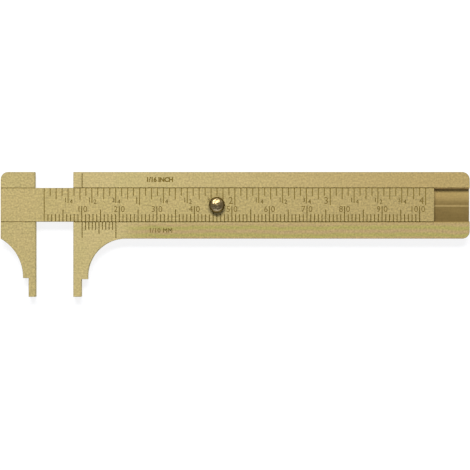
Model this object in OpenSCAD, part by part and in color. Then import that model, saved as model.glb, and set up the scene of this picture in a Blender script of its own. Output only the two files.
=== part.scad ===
// Flat brass slide caliper with a thumb button, lying on its back with the graduated face up.
// The fixed jaw is part of the channelled body. The moving jaw is pinned to the sliding bar.

/* [Body] */
// Length of the body from the fixed jaw's face to its tail
body_len = 105.6; // [105:0.1:125]
// Thickness of the body and of the moving jaw
body_t = 3; // [2.7:0.1:5]
// Width of the rail above the bar
upper_rail_w = 4.25; // [3.5:0.05:8]
// Width of the rail below the bar
lower_rail_w = 4.5; // [3.5:0.1:8]
// Radius of the two corners at the tail
tail_r = 2; // [0.5:0.1:3]

/* [Bar] */
// Width of the bar
bar_w = 9; // [8:0.1:14]
// Thickness of the bar
bar_t = 1.2; // [1.1:0.05:1.6]
// Reach of the bar from the moving jaw's face to its tail
bar_reach = 106.2; // [105:0.1:125]
// Depth of the V groove along each side of the bar
side_groove = 0.3; // [0.2:0.05:0.4]
// Height of the plain land above and below that groove
side_land = 0.2; // [0.1:0.05:0.3]
// Running clearance on each side of the bar
side_clearance = 0.09; // [0.05:0.01:0.12]
// Running clearance under the bar
floor_clearance = 0.08; // [0.05:0.01:0.15]
// Height of the crown across the channel's floor
floor_crown = 0.1; // [0.05:0.01:0.2]

/* [Jaws] */
// Depth of both jaws below the bar's face edge
jaw_depth = 20; // [17:0.5:30]
// Width of the fixed jaw's neck
fixed_neck_w = 3.8; // [2.5:0.1:6]
// Radius of the hollow behind the fixed jaw
fixed_hollow_r = 10.1; // [6:0.1:11]
// Width of the fixed jaw's tip
fixed_tip_w = 2.1; // [1:0.1:2.4]
// Length of the fixed jaw's tip
fixed_tip_len = 4.7; // [2:0.1:6]
// Width of the moving jaw's head
head_w = 9.25; // [8:0.05:12]
// Radius of the head's outer corner
head_r = 2; // [0.5:0.1:3]
// Set-back of the head's upper edge behind its measuring face
head_relief = 0.2; // [0.1:0.05:0.5]
// Clearance on each side of the bar in the head
seat_clearance = 0.04; // [0.02:0.01:0.08]
// Width of the moving jaw's neck
moving_neck_w = 3.3; // [2.5:0.1:5]
// Radius of the hollow behind the moving jaw
moving_hollow_r = 11.8; // [8:0.1:13]
// Width of the moving jaw's tip
moving_tip_w = 1.8; // [1:0.1:2.4]
// Length of the moving jaw's tip
moving_tip_len = 5; // [2:0.1:6]

/* [Opening] */
// Opening between the jaws as drawn
rest_gap = 10.1; // [1:0.1:60]
// Largest opening, where the stop pin meets the end of its slot
max_open = 102; // [90:0.5:102]
// Gap left at that stop
stop_clearance = 0.05; // [0.02:0.01:0.2]

/* [Scales] */
// Distance from each measuring face to its zero line
zero_offset = 2.35; // [1:0.05:3]
// Length of the metric scale in millimetres
metric_span = 100; // [50:10:100]
// Length of the inch scale in inches
inch_span = 4; // [2:1:4]
// Width of an engraved line
line_w = 0.2; // [0.1:0.01:0.25]
// Depth of an engraved line
line_depth = 0.08; // [0.05:0.01:0.15]
// Length of the single millimetre lines
mm_line = 2; // [1:0.05:3]
// Length of the five millimetre lines
five_line = 3.25; // [2:0.05:4]
// Length of the ten millimetre lines
ten_line = 4.15; // [3:0.05:4.4]
// Length of the sixteenth inch lines
sixteenth_line = 2.1; // [1:0.05:3]
// Length of the eighth inch lines
eighth_line = 3.05; // [2:0.05:4]
// Length of the quarter inch lines
quarter_line = 4.05; // [3:0.05:4.4]
// Length of the whole inch lines
inch_line = 4.6; // [3:0.05:4.8]
// Length of the plain vernier lines
vernier_line = 2.05; // [1:0.05:2.6]
// Length of the vernier's middle line
vernier_middle_line = 3.2; // [2:0.05:3.4]
// Distance from the vernier's end lines to the rail's outer edge
vernier_margin = 0.3; // [0.2:0.05:1]
// Distance from the index line to the rail's outer edge
index_margin = 0.45; // [0.2:0.05:1]

/* [Button] */
// Diameter of the thumb button
button_d = 4.25; // [3.5:0.05:6]
// Height of the thumb button above the bar
button_h = 2.15; // [1.9:0.05:3.5]
// Height of the button's straight foot
button_foot = 1.15; // [0.6:0.05:1.3]
// Place of the button along the metric scale
button_mark = 46; // [20:0.5:80]
// Diameter of the button's stem
stem_d = 1.6; // [1.2:0.1:2]
// Diameter of the stem's riveted tail
stem_tail_d = 2.4; // [2.1:0.1:3]
// Depth of the stem's riveted tail
stem_tail_h = 0.4; // [0.3:0.05:0.6]

/* [Pins] */
// Clearance on the diameter of every pin and rivet in its hole
pin_clearance = 0.02; // [0.01:0.01:0.05]
// Diameter of the two pins that hold the moving jaw
jaw_pin_d = 1.6; // [1:0.1:2.4]
// Distance between those pins
jaw_pin_pitch = 4.4; // [3:0.1:5.5]
// Length of those pins inside the bar
jaw_pin_grip = 0.8; // [0.5:0.05:0.85]
// Depth left beyond the end of a pin in the bar
end_clearance = 0.1; // [0.05:0.01:0.15]
// Diameter of the stop pin in the body
stop_pin_d = 1.2; // [0.8:0.1:1.6]
// Distance from the fixed jaw's face to the stop pin
stop_pin_x = 2.4; // [1.6:0.1:2.6]
// Distance of the stop pin below the bar's centre line
stop_pin_drop = 2.4; // [2:0.1:2.8]
// Height of the stop pin above the bar's underside
stop_pin_reach = 0.4; // [0.2:0.05:0.6]
// Clearance on the width of the stop pin's slot in the bar
slot_clearance = 0.2; // [0.1:0.05:0.4]

/* [Drag spring] */
// Distance from the fixed jaw's face to the spring's pocket
pocket_start = 12; // [6:0.5:60]
// Depth of the spring's pocket below the channel's floor
pocket_depth = 0.6; // [0.5:0.05:0.8]
// Clearance around the spring in its pocket
pocket_clearance = 0.2; // [0.1:0.05:0.3]
// Length of the leaf spring
spring_len = 24; // [15:0.5:40]
// Width of the leaf spring
spring_w = 3; // [2:0.1:3.4]
// Distance of the spring above the bar's centre line
spring_lift = 2.4; // [2:0.1:2.6]
// Thickness of the leaf spring
spring_t = 0.2; // [0.1:0.05:0.25]
// Length of the spring's flat end
spring_tab = 4; // [3:0.1:6]
// Gap between the spring's crown and the bar
spring_gap = 0.03; // [0.01:0.01:0.1]
// Diameter of the spring's rivet
rivet_d = 1; // [0.6:0.1:1.4]
// Diameter of the rivet's heads
rivet_head_d = 1.8; // [1.6:0.1:2.6]
// Thickness of the rivet's upper head
rivet_head_t = 0.2; // [0.1:0.01:0.25]
// Depth of the rivet's flush head in the back
rivet_sink = 0.4; // [0.2:0.05:0.42]

/* [Hidden] */
$fn = 96;

// Millimetres in an inch, lines in an inch, parts of the vernier and the length that they share
inch = 25.4;
inch_lines = 16;
vernier_parts = 10;
vernier_span = 9;

// Extra length of a cut past the face that it opens
over = 0.5;
// Facets of a wide shallow arc, and how far the spring's bow runs into its flat end
arc_facets = 720;
bow_overlap = 0.5;

brass = [0.76, 0.68, 0.47];
polished_brass = [0.80, 0.72, 0.52];
spring_bronze = [0.66, 0.50, 0.28];

// Heights: the bar's underside, the crown of the channel's floor, and the pocket's floor
bar_z = body_t - bar_t;
floor_z = bar_z - floor_clearance;
pocket_z = floor_z - pocket_depth;

// Edges across the caliper, measured from the bar's centre line
edge_y = bar_w / 2;
top_y = edge_y + upper_rail_w;
low_y = -edge_y - lower_rail_w;
tip_y = -edge_y - jaw_depth;

// Centre of the plan at rest, which stands over the origin
centre_x = (body_len - rest_gap - head_w) / 2;
centre_y = (top_y + tip_y) / 2;

// Centre of each hollow: the fixed one runs into the body's lower edge,
// and the moving one starts at the head's outer lower corner
fixed_hollow = [fixed_neck_w + fixed_hollow_r, low_y - fixed_hollow_r];
head_chord = moving_hollow_r + moving_neck_w - head_w;
moving_hollow = [
    -moving_neck_w - moving_hollow_r,
    low_y - sqrt(moving_hollow_r ^ 2 - head_chord ^ 2),
];

// Slot in the bar for the stop pin, from the centre of one round end to the other
slot_w = stop_pin_d + slot_clearance;
slot_start = stop_pin_x - slot_clearance;
slot_end = stop_pin_x + max_open + stop_clearance - slot_clearance / 2;

// Leaf spring, bowed from the pocket's floor to just under the bar
spring_x = pocket_start + pocket_clearance;
bow_span = spring_len - spring_tab;
bow_rise = bar_z - spring_gap - pocket_z - spring_t;
bow_r = bow_span ^ 2 / (8 * bow_rise) + bow_rise / 2;
rivet_x = spring_x + spring_tab / 2;

// Section of the bar, or of its channel with a gap beside and under the bar
function side_points(gap) = [
    [edge_y + gap, body_t],
    [edge_y + gap, body_t - side_land],
    [edge_y + gap - side_groove, body_t - bar_t / 2],
    [edge_y + gap, bar_z + side_land],
];
function bar_points(gap, floor_gap) = concat(
    side_points(gap),
    [[edge_y + gap, bar_z - floor_gap], [-edge_y - gap, bar_z - floor_gap]],
    [for (i = [3 : -1 : 0]) [-side_points(gap)[i].x, side_points(gap)[i].y]]
);

// Length of one line of each scale
function metric_length(i) = i % 10 == 0 ? ten_line : i % 5 == 0 ? five_line : mm_line;
function inch_length(k) =
    k % inch_lines == 0 ? inch_line :
    k % 4 == 0 ? quarter_line :
    k % 2 == 0 ? eighth_line : sixteenth_line;
function vernier_length(i) =
    i % vernier_parts == 0 ? lower_rail_w - vernier_margin :
    i == vernier_parts / 2 ? vernier_middle_line : vernier_line;

// Puts the fixed pieces over the origin
module on_body() {
    translate([-centre_x, -centre_y, 0]) children();
}

// Puts the sliding pieces at their opening, measured from the moving jaw's face
module on_slide() {
    on_body() translate([-rest_gap, 0, 0]) children();
}

// Extrudes a section, drawn across and up, along the caliper
module along_x(length) {
    rotate([90, 0, 90]) linear_extrude(length) children();
}

// Waste outside a round corner whose edges run along +X and +Y
module corner_waste(r) {
    difference() {
        translate([-over, -over]) square(r + over);
        translate([r, r]) circle(r);
    }
}

// Channel cut for the bar, open at the face
module channel(length, gap, floor_gap) {
    along_x(length) {
        polygon(bar_points(gap, floor_gap));
        translate([-edge_y - gap, body_t - side_land / 2])
            square([2 * (edge_y + gap), over]);
    }
}

// Channel of the body, whose floor is crowned along its middle
module crowned_channel(length) {
    half_w = edge_y + side_clearance;
    crown_r = (half_w ^ 2 + floor_crown ^ 2) / (2 * floor_crown);
    difference() {
        channel(length, side_clearance, floor_clearance + floor_crown);
        along_x(length) translate([0, floor_z - crown_r]) circle(crown_r, $fn = arc_facets);
    }
}

// One engraved line across the face, between two heights
module line_cut(x, y1, y2) {
    translate([x - line_w / 2, y1, body_t - line_depth])
        cube([line_w, y2 - y1, line_depth + over]);
}

// Plan of the body with the fixed jaw, measured from the jaw's face
module body_plan() {
    difference() {
        translate([0, low_y]) square([body_len, top_y - low_y]);
        translate([body_len, top_y]) rotate(180) corner_waste(tail_r);
        translate([body_len, low_y]) rotate(90) corner_waste(tail_r);
    }
    difference() {
        translate([0, tip_y]) square([fixed_hollow.x, low_y - tip_y + over]);
        translate(fixed_hollow) circle(fixed_hollow_r);
        translate([fixed_neck_w, tip_y - over])
            square([fixed_hollow_r + over, fixed_hollow.y - tip_y + over]);
        translate([fixed_tip_w, tip_y - over])
            square([fixed_hollow.x, fixed_tip_len + over]);
    }
}

// Plan of the head with the moving jaw, measured from the jaw's face
module head_plan() {
    difference() {
        translate([-head_w, tip_y]) square([head_w, top_y - tip_y]);
        translate([-head_w, top_y]) rotate(-90) corner_waste(head_r);
        translate([-head_relief, -edge_y]) square([head_relief + over, top_y + edge_y + over]);
        translate(moving_hollow) circle(moving_hollow_r);
        translate([-head_w - over, tip_y - over])
            square([head_w - moving_neck_w + over, moving_hollow.y - tip_y + over]);
        translate([-head_w - over, tip_y - over])
            square([head_w - moving_tip_w + over, moving_tip_len + over]);
    }
}

// Slot in the bar's underside that the stop pin runs in
module stop_slot() {
    translate([0, -stop_pin_drop, bar_z - over])
        linear_extrude(over + stop_pin_reach + end_clearance) {
            for (x = [slot_start, slot_end]) translate([x, 0]) circle(d = slot_w);
            translate([slot_start, -slot_w / 2]) square([slot_end - slot_start, slot_w]);
        }
}

// Side view of the leaf spring, measured from its flat end and the pocket's floor
module leaf_side() {
    bow_centre = [spring_tab + bow_span / 2, spring_t + bow_rise - bow_r];
    square([spring_tab, spring_t]);
    intersection() {
        translate([spring_tab - bow_overlap, 0])
            square([bow_span + bow_overlap, spring_t + bow_rise + over]);
        translate(bow_centre) difference() {
            circle(bow_r, $fn = arc_facets);
            circle(bow_r - spring_t, $fn = arc_facets);
        }
    }
}

// Spring rivet from the back to its upper head, with an allowance on its diameters
module rivet_form(allowance) {
    cylinder(d1 = rivet_head_d + allowance, d2 = rivet_d + allowance, h = rivet_sink);
    cylinder(d = rivet_d + allowance, h = pocket_z + spring_t);
}

// Button stem through the bar with its riveted tail, with an allowance on its diameters
module stem_form(allowance) {
    translate([0, 0, bar_z]) {
        cylinder(d = stem_d + allowance, h = bar_t);
        cylinder(d1 = stem_tail_d + allowance, d2 = stem_d + allowance, h = stem_tail_h);
    }
}

// Places of the two jaw pins
module at_jaw_pins() {
    for (side = [-1, 1])
        translate([(side * jaw_pin_pitch - head_w) / 2, 0, 0]) children();
}

// Channelled plate with the fixed jaw, the vernier and the index line
module body() {
    color(brass) on_body() difference() {
        linear_extrude(body_t) body_plan();
        translate([-over, 0, 0]) crowned_channel(body_len + 2 * over);
        translate([pocket_start, spring_lift - spring_w / 2 - pocket_clearance, pocket_z])
            cube([spring_len + 2 * pocket_clearance, spring_w + 2 * pocket_clearance, bar_t]);
        translate([rivet_x, spring_lift, 0]) rivet_form(pin_clearance);
        translate([stop_pin_x, -stop_pin_drop, -over])
            cylinder(d = stop_pin_d + pin_clearance, h = body_t);
        line_cut(zero_offset, edge_y, top_y - index_margin);
        for (i = [0 : vernier_parts])
            line_cut(zero_offset + i * vernier_span / vernier_parts,
                     -edge_y - vernier_length(i), -edge_y);
    }
}

// Bowed leaf that rubs on the bar's underside
module drag_spring() {
    color(spring_bronze) on_body() difference() {
        translate([spring_x, spring_lift + spring_w / 2, pocket_z])
            rotate([90, 0, 0]) linear_extrude(spring_w) leaf_side();
        translate([rivet_x, spring_lift, 0]) rivet_form(pin_clearance);
    }
}

// Rivet through the spring's flat end, flush with the back
module spring_rivet() {
    color(brass) on_body() translate([rivet_x, spring_lift, 0]) {
        rivet_form(0);
        translate([0, 0, pocket_z + spring_t]) cylinder(d = rivet_head_d, h = rivet_head_t);
    }
}

// Bar with both scales, grooved along its sides for the ribs of the channel
module slide_bar() {
    color(brass) on_slide() difference() {
        translate([-head_w, 0, 0]) along_x(head_w + bar_reach) polygon(bar_points(0, 0));
        line_cut(zero_offset, -edge_y - over, edge_y + over);
        for (i = [1 : metric_span])
            line_cut(zero_offset + i, -edge_y - over, -edge_y + metric_length(i));
        for (k = [1 : inch_span * inch_lines])
            line_cut(zero_offset + k * inch / inch_lines, edge_y - inch_length(k), edge_y + over);
        at_jaw_pins()
            cylinder(d = jaw_pin_d + pin_clearance, h = bar_z + jaw_pin_grip + end_clearance);
        translate([zero_offset + button_mark, 0, 0]) stem_form(pin_clearance);
        stop_slot();
    }
}

// Head with the moving jaw, seated under the bar
module moving_jaw() {
    color(brass) on_slide() difference() {
        linear_extrude(body_t) head_plan();
        translate([-head_w - over, 0, 0]) channel(head_w + 2 * over, seat_clearance, 0);
        at_jaw_pins() translate([0, 0, -over])
            cylinder(d = jaw_pin_d + pin_clearance, h = body_t);
    }
}

// Two plain pins, flush with the back, that hold the head on the bar
module jaw_pins() {
    color(brass) on_slide() at_jaw_pins() cylinder(d = jaw_pin_d, h = bar_z + jaw_pin_grip);
}

// Domed button on the bar's face, riveted under the bar
module thumb_button() {
    dome_h = button_h - button_foot;
    dome_r = (dome_h ^ 2 + (button_d / 2) ^ 2) / (2 * dome_h);
    color(polished_brass) on_slide() translate([zero_offset + button_mark, 0, 0]) {
        stem_form(0);
        translate([0, 0, body_t]) cylinder(d = button_d, h = button_foot);
        translate([0, 0, body_t]) intersection() {
            translate([0, 0, button_h - dome_r]) sphere(dome_r);
            translate([0, 0, button_foot]) cylinder(d = button_d, h = dome_h + over);
        }
    }
}

// Pin through the body's floor, flush with the back, that stops the bar by its slot
module stop_pin() {
    color(brass) on_body() translate([stop_pin_x, -stop_pin_drop, 0])
        cylinder(d = stop_pin_d, h = bar_z + stop_pin_reach);
}

body();
drag_spring();
spring_rivet();
slide_bar();
moving_jaw();
jaw_pins();
thumb_button();
stop_pin();
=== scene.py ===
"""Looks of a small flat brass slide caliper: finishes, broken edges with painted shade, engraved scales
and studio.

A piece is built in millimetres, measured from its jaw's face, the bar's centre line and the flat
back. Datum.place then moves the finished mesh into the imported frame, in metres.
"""

import logging
import math
from collections.abc import Callable, Sequence
from dataclasses import dataclass, field
from enum import Enum, IntEnum

import bmesh
import bpy
from bmesh.types import BMEdge, BMesh
from bpy.types import ID, Material, Mesh, Node, NodeSocket, NodeTree, Object
from mathutils import Matrix, Vector, noise


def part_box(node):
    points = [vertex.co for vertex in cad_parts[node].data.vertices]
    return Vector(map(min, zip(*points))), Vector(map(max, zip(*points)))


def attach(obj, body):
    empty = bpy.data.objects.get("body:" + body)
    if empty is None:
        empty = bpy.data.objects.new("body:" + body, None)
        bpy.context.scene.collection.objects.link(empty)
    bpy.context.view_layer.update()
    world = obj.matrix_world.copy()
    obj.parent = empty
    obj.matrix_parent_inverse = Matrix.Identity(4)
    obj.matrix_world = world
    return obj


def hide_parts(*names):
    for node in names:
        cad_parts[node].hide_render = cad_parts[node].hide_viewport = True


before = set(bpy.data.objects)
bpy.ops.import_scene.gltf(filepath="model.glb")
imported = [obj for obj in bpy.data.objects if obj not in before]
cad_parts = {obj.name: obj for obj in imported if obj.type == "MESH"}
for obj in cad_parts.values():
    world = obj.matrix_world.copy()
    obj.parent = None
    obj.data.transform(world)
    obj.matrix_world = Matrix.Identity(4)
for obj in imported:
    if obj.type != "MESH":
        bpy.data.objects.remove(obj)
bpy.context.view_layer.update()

MM = 0.001
INCH = 25.4
LOG = logging.getLogger("caliper")

# Digits before and after the lines of a quarter, a half and three quarters of an inch
FRACTIONS = (("1", "4"), ("1", "2"), ("3", "4"))
# Steps of a quarter arc in the plan, and of a turned or drilled circle
ARC_STEPS = 24
TURN_STEPS = 64
# Length by which a cutter runs past the surface that it opens
OVER = 0.5
# Points closer than this are the same
NEAR = 0.001
# Edges sharper than this are broken, and facets flatter than the second angle look smooth
BREAK_ANGLE = math.radians(50)
SMOOTH_ANGLE = math.radians(12)
# Largest upward part of the normal of a face that counts as a side
UPRIGHT = 0.9
# Spans of a noise pattern that a finish stretches to its whole effect
CLOUD_SPAN = (0.35, 0.65)
SPOT_SPAN = (0.3, 0.7)
GRAIN_SPAN = (0.25, 0.75)
# Numbers of the colour sockets on Blender's Mix node
MIX_A, MIX_B, MIX_RESULT = 6, 7, 2

Colour = tuple[float, float, float]
WHITE: Colour = (1.0, 1.0, 1.0)
# Values or sockets for a node's inputs, by name or number
Inputs = dict[int | str, object]


class Body(Enum):
    """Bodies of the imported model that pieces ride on."""

    FRAME = "frame"
    SLIDE = "slide"


class Axis(IntEnum):
    """Numbers of the axes."""

    X = 0
    Y = 1
    Z = 2


class Slot(Enum):
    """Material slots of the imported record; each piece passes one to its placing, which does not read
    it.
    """

    BODY = "body_brass"
    BAR = "bar_brass"
    BUTTON = "button_brass"


class ScaleSide(Enum):
    """Direction in which a scale's lines run from their edge, as a turn about Z."""

    UPWARDS = 0.0
    DOWNWARDS = math.pi


class Fill(Enum):
    """Dark colours painted into engraved work as the shade of its grooves, and grime with painted shade
    along the seams: a name and the darkest and the lightest colour.
    """

    DEEP = ("deep_shade_fill", (0.060, 0.038, 0.001), (0.085, 0.054, 0.002))
    PLAIN = ("plain_shade_fill", (0.072, 0.046, 0.003), (0.096, 0.062, 0.005))
    LIGHT = ("light_shade_fill", (0.120, 0.082, 0.013), (0.145, 0.100, 0.019))
    WORD = ("word_shade_fill", (0.112, 0.075, 0.011), (0.138, 0.093, 0.016))
    FAINT = ("faint_shade_fill", (0.122, 0.084, 0.018), (0.152, 0.104, 0.026))
    # Grime and painted shade on the broken edges along the seams
    GRIME = ("seam_grime_and_shade", (0.075, 0.042, 0.001), (0.105, 0.062, 0.002))


class Skin(IntEnum):
    """Numbers of a piece's material slots."""

    FACE = 0
    EDGE = 1
    SIDE = 2
    GRIME = 3
    FLOOR = 4


class NodeSheet:
    """Adds and joins the nodes of one tree."""

    def __init__(self, tree: NodeTree) -> None:
        """Works on the given tree."""
        self.tree = tree

    def feed(self, node: Node, inputs: Inputs) -> None:
        """Sets a node's inputs.

        Args:
            node: The node.
            inputs: Values or sockets for its inputs, by name or number.
        """
        for key, value in inputs.items():
            if isinstance(value, NodeSocket):
                self.tree.links.new(value, node.inputs[key])
            else:
                node.inputs[key].default_value = value

    def add(self, kind: str, inputs: Inputs | None = None, **settings: object) -> Node:
        """Adds a node.

        Args:
            kind: Blender's name for the type of node.
            inputs: Values or sockets for the node's inputs, by name or number.
            **settings: Properties of the node itself.

        Returns:
            The new node.
        """
        node = self.tree.nodes.new(kind)
        for name, value in settings.items():
            setattr(node, name, value)
        self.feed(node, inputs or {})
        return node

    def first(self, kind: str, inputs: Inputs | None = None, **settings: object) -> NodeSocket:
        """Adds a node and gives its first output."""
        return self.add(kind, inputs, **settings).outputs[0]

    def math(self, operation: str, *values: object) -> NodeSocket:
        """Adds one step of arithmetic, by Blender's name for it."""
        return self.first("ShaderNodeMath", dict(enumerate(values)), operation=operation)

    def vector(self, **parts: object) -> NodeSocket:
        """Adds a vector of the parts X, Y and Z."""
        return self.first("ShaderNodeCombineXYZ", parts)

    def axes(self, place: NodeSocket) -> tuple[NodeSocket, ...]:
        """Splits coordinates into X, Y and Z."""
        return tuple(self.add("ShaderNodeSeparateXYZ", {0: place}).outputs)

    def noise(
        self, place: NodeSocket, size: float, detail: float = 2.0, stretch: float = 1.0
    ) -> NodeSocket:
        """Adds a noise pattern.

        Args:
            place: Coordinates in metres.
            size: Size of the pattern's spots in millimetres.
            detail: Octaves of finer noise.
            stretch: How many times longer the spots are along X.

        Returns:
            The noise, about 0 to 1.
        """
        if stretch != 1.0:
            scale = (1.0 / stretch, 1.0, 1.0)
            place = self.first("ShaderNodeMapping", {"Vector": place, "Scale": scale})
        inputs = {"Vector": place, "Scale": 1.0 / (size * MM), "Detail": detail}
        return self.first("ShaderNodeTexNoise", inputs)

    def remap(
        self,
        value: NodeSocket,
        source: tuple[float, float],
        target: tuple[float, float] = (0.0, 1.0),
        smooth: bool = False,
    ) -> NodeSocket:
        """Adds a clamped change of range.

        Args:
            value: The number to change.
            source: Range of that number.
            target: Range of the result.
            smooth: Whether the result eases in and out.

        Returns:
            The changed number.
        """
        names = "Value", "From Min", "From Max", "To Min", "To Max"
        inputs = dict(zip(names, (value, *source, *target)))
        kind = "SMOOTHSTEP" if smooth else "LINEAR"
        return self.first("ShaderNodeMapRange", inputs, interpolation_type=kind)

    def ramp(
        self, place: NodeSocket, axis: Axis, start: float, end: float, smooth: bool = True
    ) -> NodeSocket:
        """Adds a share that goes from 0 to 1 between two places on an axis, in millimetres."""
        return self.remap(self.axes(place)[axis], (start * MM, end * MM), smooth=smooth)

    def mix(self, share: object, first: object, second: object) -> NodeSocket:
        """Adds a mix of two colours.

        Args:
            share: Share of the second colour.
            first: A colour or a socket.
            second: A colour or a socket.

        Returns:
            The mixed colour.
        """
        inputs = {0: share, MIX_A: opaque(first), MIX_B: opaque(second)}
        return self.add("ShaderNodeMix", inputs, data_type="RGBA").outputs[MIX_RESULT]


def opaque(colour: object) -> object:
    """Gives a plain colour its alpha, and leaves a socket as it is."""
    return (*colour, 1.0) if isinstance(colour, tuple) else colour


def blank_material(name: str) -> tuple[Material, NodeSheet, Node]:
    """Starts a node material.

    Args:
        name: Name of the material.

    Returns:
        The material, its nodes and its shader.
    """
    material = bpy.data.materials.new(name)
    material.use_nodes = True
    return material, NodeSheet(material.node_tree), material.node_tree.nodes["Principled BSDF"]


@dataclass(frozen=True)
class BrassFinish:
    """Brass with a satin grain, lengthwise polishing marks and clouds of tarnish."""

    name: str
    colour: Colour
    tarnish: Colour
    tarnish_share: float = 0.5
    cloud_size: float = 7.0
    cloud_detail: float = 4.0
    roughness: float = 0.86
    roughness_spread: float = 0.04
    grain: float = 0.22
    grain_size: float = 0.5
    grain_depth: float = 1.0
    mark_size: float = 0.12
    mark_stretch: float = 40.0
    relief: float = 0.0006

    def tone(self, sheet: NodeSheet, place: NodeSocket) -> NodeSocket:
        """Mixes the clean and the tarnished colour.

        Args:
            sheet: The material's nodes.
            place: Object coordinates.

        Returns:
            The colour before its grain.
        """
        clouds = sheet.noise(place, self.cloud_size, self.cloud_detail)
        share = sheet.remap(clouds, CLOUD_SPAN, (0.0, self.tarnish_share), smooth=True)
        return sheet.mix(share, self.colour, self.tarnish)

    def material(self) -> Material:
        """Builds the material.

        Returns:
            The material, with all its nodes.
        """
        material, sheet, shader = blank_material(self.name)
        place = sheet.add("ShaderNodeTexCoord").outputs["Object"]
        grain = sheet.noise(place, self.grain_size)
        marks = sheet.noise(place, self.mark_size, stretch=self.mark_stretch)
        value = sheet.remap(grain, GRAIN_SPAN, (1.0 - self.grain, 1.0 + self.grain))
        tint = {"Value": value, "Color": self.tone(sheet, place)}
        spread = self.roughness - self.roughness_spread, self.roughness + self.roughness_spread
        height = sheet.math("MULTIPLY_ADD", grain, self.grain_depth, marks)
        relief = {"Height": height, "Strength": 1.0, "Distance": self.relief * MM}
        looks = {
            "Metallic": 1.0,
            "Base Color": sheet.first("ShaderNodeHueSaturation", tint),
            "Roughness": sheet.remap(marks, SPOT_SPAN, spread),
            "Normal": sheet.first("ShaderNodeBump", relief),
        }
        sheet.feed(shader, looks)
        return material


@dataclass(frozen=True)
class FloorFinish(BrassFinish):
    """Channel floor with painted shade, darker below its crown and lighter above it, and a painted
    highlight along the crown.
    """

    # Painted shade below the crown, and the painted highlight along it
    dull: Colour = (0.257, 0.184, 0.066)
    rubbed: Colour = (0.388, 0.296, 0.123)
    crown_y: float = 0.0
    rub_w: float = 0.5
    fade_w: float = 3.0

    def tone(self, sheet: NodeSheet, place: NodeSocket) -> NodeSocket:
        """Paints shade below the crown and a highlight along it.

        Args:
            sheet: The material's nodes.
            place: Object coordinates.

        Returns:
            The colour before its grain.
        """
        below = sheet.ramp(place, Axis.Y, self.crown_y + self.fade_w, self.crown_y)
        shaded_floor = sheet.mix(below, super().tone(sheet, place), self.dull)
        across = sheet.axes(place)[Axis.Y]
        line = sheet.math("COMPARE", across, self.crown_y * MM, self.rub_w * MM / 2)
        return sheet.mix(line, shaded_floor, self.rubbed)


@dataclass(frozen=True)
class AgedFinish(BrassFinish):
    """Satin brass with painted shade: darker and warmer towards the caliper's tail, where less light
    falls.
    """

    # Colour at the tail: painted shade
    tail: Colour = (0.445, 0.35, 0.154)
    ageing: tuple[float, float] = (-30.0, 55.0)

    def tone(self, sheet: NodeSheet, place: NodeSocket) -> NodeSocket:
        """Mixes in the painted shade of the tail."""
        share = sheet.ramp(place, Axis.X, *self.ageing, smooth=False)
        return sheet.mix(share, super().tone(sheet, place), self.tail)


@dataclass(frozen=True)
class RailFinish(AgedFinish):
    """Brass with painted shade towards the tail, tarnished in soft bands along the lower rail."""

    warm: Colour = (0.452, 0.348, 0.177)
    green: Colour = (0.408, 0.367, 0.132)
    band: float = 2.0
    band_y: float = 0.0
    band_drift: float = 2.0
    drift_detail: float = 3.0
    rail: tuple[float, float] = (0.0, 0.0)
    face: float = 0.0
    rail_ease: float = 1.0
    start_x: float = 0.0
    start_ease: float = 12.0

    def tone(self, sheet: NodeSheet, place: NodeSocket) -> NodeSocket:
        """Adds the bands.

        Args:
            sheet: The material's nodes.
            place: Object coordinates.

        Returns:
            The colour before its grain.
        """
        turns = 2 * math.pi / (self.band * MM)
        across = sheet.axes(place)[Axis.Y]
        phase = sheet.math("MULTIPLY_ADD", across, turns, -turns * self.band_y * MM)
        clouds = sheet.noise(place, self.cloud_size, self.drift_detail)
        drift = sheet.remap(clouds, (0.0, 1.0), (-self.band_drift, self.band_drift))
        wave = sheet.math("COSINE", sheet.math("ADD", phase, drift))
        bands = sheet.mix(sheet.remap(wave, (-1.0, 1.0), (1.0, 0.0)), self.warm, self.green)
        low, high = self.rail
        limits = (
            (Axis.Y, high, high - self.rail_ease),
            (Axis.Y, low - self.rail_ease, low),
            (Axis.X, self.start_x, self.start_x + self.start_ease),
            (Axis.Z, self.face - self.rail_ease, self.face),
        )
        share: float | NodeSocket = 1.0
        for limit in limits:
            share = sheet.math("MULTIPLY", share, sheet.ramp(place, *limit))
        return sheet.mix(share, super().tone(sheet, place), bands)


@dataclass(frozen=True)
class ButtonFinish(BrassFinish):
    """Brass with a dark foot: patina, with painted shade and reflection round the rim."""

    # Patina, with painted shade and reflection, on the foot and rim
    patina: Colour = (0.11, 0.07, 0.013)
    patina_top: float = 0.0
    patina_ease: float = 0.2

    def tone(self, sheet: NodeSheet, place: NodeSocket) -> NodeSocket:
        """Darkens the foot with patina and painted shade."""
        share = sheet.ramp(place, Axis.Z, self.patina_top, self.patina_top - self.patina_ease)
        return sheet.mix(share, super().tone(sheet, place), self.patina)


@dataclass(frozen=True)
class EngravedFinish:
    """Dark colour painted into the engraved lines and marks as the shade of their grooves."""

    name: str
    colour: Colour
    light: Colour
    patch_size: float = 0.6
    patch_detail: float = 3.0
    roughness: float = 0.8
    gloss: float = 0.05

    def material(self) -> Material:
        """Builds the material.

        Returns:
            The material, with all its nodes.
        """
        material, sheet, shader = blank_material(self.name)
        place = sheet.add("ShaderNodeTexCoord").outputs["Object"]
        patches = sheet.noise(place, self.patch_size, self.patch_detail)
        colour = sheet.mix(sheet.remap(patches, SPOT_SPAN), self.colour, self.light)
        looks = {"Base Color": colour, "Roughness": self.roughness, "Specular IOR Level": self.gloss}
        sheet.feed(shader, looks)
        return material


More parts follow.
